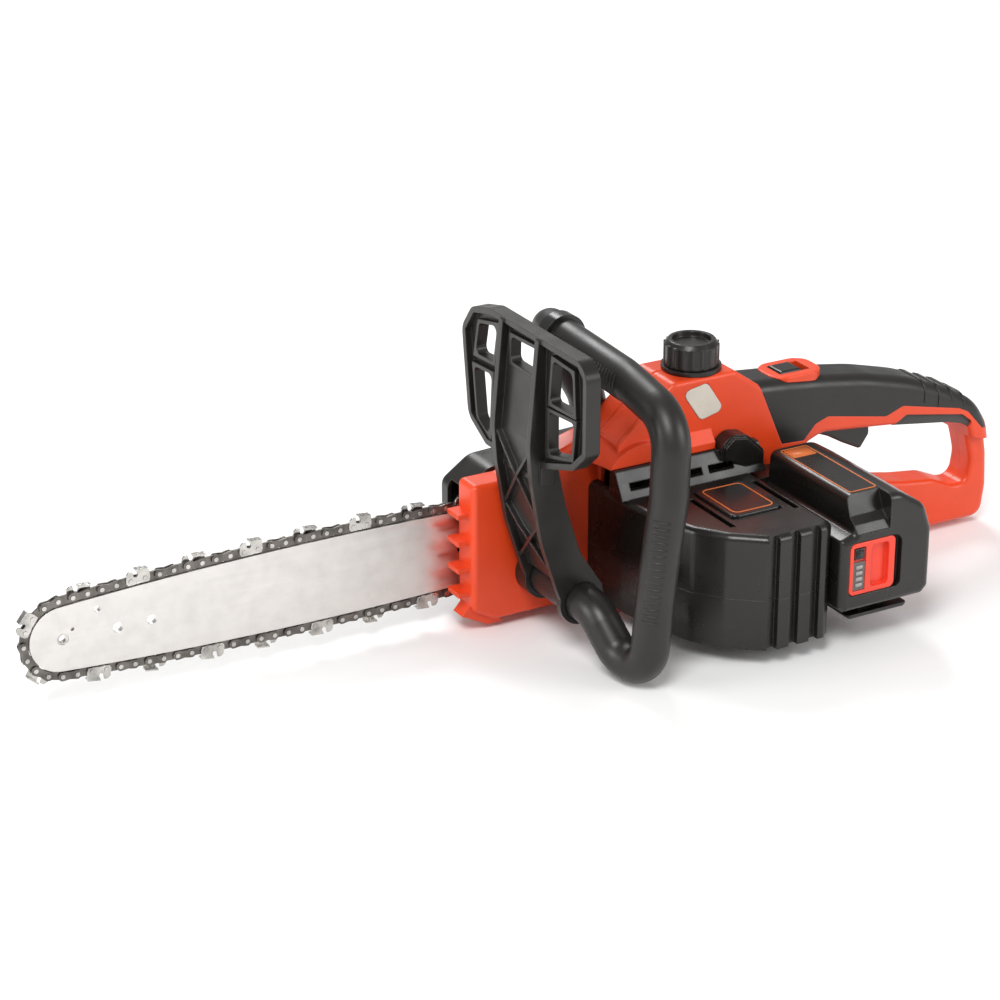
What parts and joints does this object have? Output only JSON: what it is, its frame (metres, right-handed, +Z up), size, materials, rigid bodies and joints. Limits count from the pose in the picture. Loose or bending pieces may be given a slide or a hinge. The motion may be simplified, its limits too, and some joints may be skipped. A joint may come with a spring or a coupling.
{
  "type": "battery chainsaw",
  "caption": "Battery-powered chainsaw with a guide bar and saw chain, tilting front guard, hoop and rear handles, oil tank, slide-on battery and tool-free chain tensioner.",
  "frame": {"origin": "middle of the footprint, on the surface that the saw stands on", "axes": "+X towards the rear handle, -X towards the bar tip, +Y towards the chain side, +Z up"},
  "size_m": [0.7027, 0.2057, 0.221],
  "materials": {
    "orange_shell": "satin moulded",
    "black_shell": "fine moulded grain",
    "grip_rubber": "soft matte",
    "collar_black": "semi-gloss",
    "bar_steel": "ground, brushed along its length",
    "chain_dark_steel": "oiled",
    "chain_bright_steel": "polished",
    "machined_steel": "machined",
    "motor_steel": "plated",
    "tension_orange": "satin moulded",
    "knob_black": "fine moulded grain",
    "window_smoke": "translucent",
    "tank_natural": "translucent",
    "badge_black": "gloss",
    "latch_red": "gloss",
    "gauge_grey": "gloss",
    "cell_wrap": "shrink film",
    "contact_brass": "bright",
    "board_green": "coated"
  },
  "bodies": {
    "saw": {"housing_right": "orange_shell", "housing_left": "orange_shell", "rear_handle_right": "orange_shell", "rear_handle_left": "orange_shell", "handle_overmould": "grip_rubber", "handle_insert": "black_shell", "lock_ring": "orange_shell", "oil_tank": "tank_natural", "oil_window": "window_smoke", "filler_neck": "collar_black", "cap_seal": "grip_rubber", "oil_pump": "tank_natural", "upper_motor_cover": "black_shell", "lower_motor_cover": "black_shell", "badge_plate": "badge_black", "control_board": "board_green", "front_handle": "grip_rubber", "handle_collar": "collar_black", "sprocket_cover": "black_shell", "bar_studs": "machined_steel", "guide_plate": "bar_steel", "chain_catcher": "orange_shell", "guard_pin": "machined_steel", "battery_dock": "black_shell", "terminal_block": "black_shell", "switch": "black_shell", "case_screws": "machined_steel", "spindle_bearings": "machined_steel", "motor_can": "motor_steel", "motor_magnets": "motor_steel", "motor_bearings": "machined_steel", "motor_mount": "black_shell", "chain_drive_links": "chain_dark_steel", "chain_tie_straps": "chain_dark_steel", "chain_left_cutters": "chain_bright_steel", "chain_right_cutters": "chain_bright_steel", "chain_rivets": "chain_bright_steel"},
    "hand_guard": {"hand_guard": "black_shell"},
    "trigger": {"trigger": "black_shell"},
    "lock_off_button": {"lock_off_button": "black_shell"},
    "oil_cap": {"oil_cap": "black_shell"},
    "tension_wheel": {"tension_wheel": "tension_orange"},
    "lock_knob": {"lock_knob": "knob_black"},
    "bar": {"guide_bar": "bar_steel", "tension_slider": "machined_steel"},
    "nose": {"nose_sprocket": "chain_bright_steel"},
    "spindle": {"output_shaft": "machined_steel", "output_gear": "machined_steel", "drive_sprocket": "machined_steel"},
    "rotor": {"rotor_shaft": "machined_steel", "rotor_core": "motor_steel", "cooling_fan": "collar_black"},
    "battery": {"battery_front_shell": "black_shell", "battery_rear_shell": "black_shell", "battery_cells": "cell_wrap", "battery_contacts": "contact_brass"},
    "battery_latch": {"battery_latch": "latch_red", "gauge_panel": "gauge_grey"},
    "gauge_button": {"gauge_button": "black_shell"}
  },
  "joints": [
    {"name": "guard_tilt", "type": "hinge", "parent": "saw", "child": "hand_guard", "pos_m": [-0.006, 0.03, 0.038], "axis": [0, -1, 0], "range_deg": [0, 18]},
    {"name": "trigger_squeeze", "type": "hinge", "parent": "saw", "child": "trigger", "pos_m": [0.202, 0.035, 0.1035], "axis": [0, -1, 0], "range_deg": [0, 8], "stiffness_Nm_per_rad": 0.8, "springref_deg": -5.73},
    {"name": "lock_off_slide", "type": "slide", "parent": "saw", "child": "lock_off_button", "axis": [1, 0, 0], "range_m": [0, 0.004], "stiffness_N_per_m": 200, "springref_m": -0.002},
    {"name": "oil_cap_turn", "type": "hinge", "parent": "saw", "child": "oil_cap", "pos_m": [0.1075, 0.035, 0.165], "axis": [0, 0, 1], "continuous": true},
    {"name": "tension_wheel_turn", "type": "hinge", "parent": "saw", "child": "tension_wheel", "pos_m": [-0.014, 0.086, 0.0506], "axis": [0, 1, 0], "range_deg": [0, 360]},
    {"name": "lock_knob_turn", "type": "hinge", "parent": "saw", "child": "lock_knob", "pos_m": [-0.014, 0.095, 0.0506], "axis": [0, 1, 0], "continuous": true},
    {"name": "bar_slide", "type": "slide", "parent": "saw", "child": "bar", "axis": [1, 0, 0], "range_m": [0, 0.002]},
    {"name": "nose_spin", "type": "hinge", "parent": "bar", "child": "nose", "pos_m": [-0.32308, 0.0665, 0.0506], "axis": [0, 1, 0], "continuous": true},
    {"name": "spindle_spin", "type": "hinge", "parent": "saw", "child": "spindle", "pos_m": [0.0263, 0.0665, 0.0506], "axis": [0, 1, 0], "continuous": true},
    {"name": "rotor_spin", "type": "hinge", "parent": "saw", "child": "rotor", "pos_m": [0.07015, 0, 0.0606], "axis": [0, 1, 0], "continuous": true},
    {"name": "battery_slide", "type": "slide", "parent": "saw", "child": "battery", "axis": [0, -1, 0], "range_m": [0, 0.11]},
    {"name": "latch_slide", "type": "slide", "parent": "battery", "child": "battery_latch", "axis": [1, 0, 0], "range_m": [0, 0.003], "stiffness_N_per_m": 300, "springref_m": -0.002},
    {"name": "gauge_press", "type": "slide", "parent": "battery_latch", "child": "gauge_button", "axis": [0, 1, 0], "range_m": [0, 0.001], "stiffness_N_per_m": 300, "springref_m": -0.0005}
  ],
  "couplings": [
    {"joint": "tension_wheel_turn", "follows": "bar_slide", "rad_per_m": 3141.6},
    {"joint": "rotor_spin", "follows": "spindle_spin", "ratio": -5}
  ]
}
